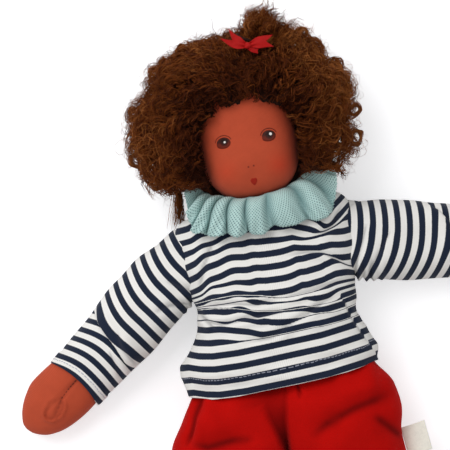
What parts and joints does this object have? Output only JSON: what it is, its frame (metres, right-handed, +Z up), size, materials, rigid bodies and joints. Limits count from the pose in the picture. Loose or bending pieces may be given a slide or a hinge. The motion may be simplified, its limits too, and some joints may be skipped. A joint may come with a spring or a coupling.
{
  "type": "waldorf doll",
  "caption": "Soft jersey doll lying on its back: mohair wig with topknot and bow, net ruffle, striped shirt, velour trousers; head, arms and legs move at sewn joints.",
  "frame": {"origin": "on the flat of the shirt's back, between the shoulder blades, where the lying doll rests", "axes": "+Z up through the chest and face, +Y along the body towards the crown, +X to the viewer's right, which is the doll's left"},
  "size_m": [0.3639, 0.4294, 0.0756],
  "materials": {
    "skin": "matte cotton jersey",
    "wool": "loose fleece",
    "mohair": "soft sheen",
    "wig_cap": "knitted",
    "red_velour": "short pile",
    "ribbon": "woven, slight sheen",
    "striped_jersey": "matte cotton jersey, navy and white stripes",
    "navy_jersey": "matte cotton jersey",
    "mint_net": "fine mesh",
    "thread": "twisted cotton",
    "eye_floss": "satin stitch",
    "mouth_floss": "satin stitch",
    "label_tape": "woven satin tape, blank"
  },
  "bodies": {
    "torso": {"shirt_body": "striped_jersey", "neckline_binding": "navy_jersey", "torso_skin": "skin", "torso_wool": "wool", "trousers_hips": "red_velour", "waist_elastic": "thread"},
    "neck": {"neck_column": "skin", "neck_tie": "thread", "ruffle_cord": "thread", "ruffle": "mint_net"},
    "head": {"head_skin": "skin", "head_wool": "wool", "wig_cap": "wig_cap", "mohair_wig": "mohair", "topknot": "mohair", "topknot_elastic": "thread", "bow": "ribbon", "bow_knot": "ribbon", "eye_left": "eye_floss", "eye_right": "eye_floss", "mouth": "mouth_floss"},
    "shoulder_left": {"shoulder_thread_left": "thread"},
    "arm_left": {"sleeve_left": "striped_jersey", "arm_skin_left": "skin", "arm_wool_left": "wool"},
    "leg_left": {"trouser_leg_left": "red_velour", "leg_skin_left": "skin", "leg_wool_left": "wool"},
    "shoulder_right": {"shoulder_thread_right": "thread"},
    "arm_right": {"sleeve_right": "striped_jersey", "arm_skin_right": "skin", "arm_wool_right": "wool"},
    "leg_right": {"trouser_leg_right": "red_velour", "leg_skin_right": "skin", "leg_wool_right": "wool", "side_label": "label_tape"}
  },
  "joints": [
    {"name": "head_nod", "type": "hinge", "parent": "torso", "child": "neck", "pos_m": [0, 0.048, 0.032], "axis": [1, 0, 0], "range_deg": [-10, 20], "deforming": ["ruffle"]},
    {"name": "head_turn", "type": "hinge", "parent": "neck", "child": "head", "pos_m": [0, 0.048, 0.032], "axis": [0, 1, 0], "range_deg": [-60, 60]},
    {"name": "arm_swing_left", "type": "hinge", "parent": "torso", "child": "shoulder_left", "pos_m": [-0.054, 0.0305, 0.0215], "axis": [-1, 0, 0], "range_deg": [0, 90]},
    {"name": "arm_spread_left", "type": "hinge", "parent": "shoulder_left", "child": "arm_left", "pos_m": [-0.054, 0.0305, 0.0215], "axis": [0, 0, 1], "range_deg": [-60, 15]},
    {"name": "leg_lift_left", "type": "hinge", "parent": "torso", "child": "leg_left", "pos_m": [-0.04761, -0.09, 0.026], "axis": [-1, 0, 0], "range_deg": [0, 90]},
    {"name": "arm_swing_right", "type": "hinge", "parent": "torso", "child": "shoulder_right", "pos_m": [0.054, 0.0305, 0.0215], "axis": [-1, 0, 0], "range_deg": [0, 90]},
    {"name": "arm_spread_right", "type": "hinge", "parent": "shoulder_right", "child": "arm_right", "pos_m": [0.054, 0.0305, 0.0215], "axis": [0, 0, -1], "range_deg": [-40, 35]},
    {"name": "leg_lift_right", "type": "hinge", "parent": "torso", "child": "leg_right", "pos_m": [0.02439, -0.09, 0.026], "axis": [-1, 0, 0], "range_deg": [0, 90]}
  ]
}
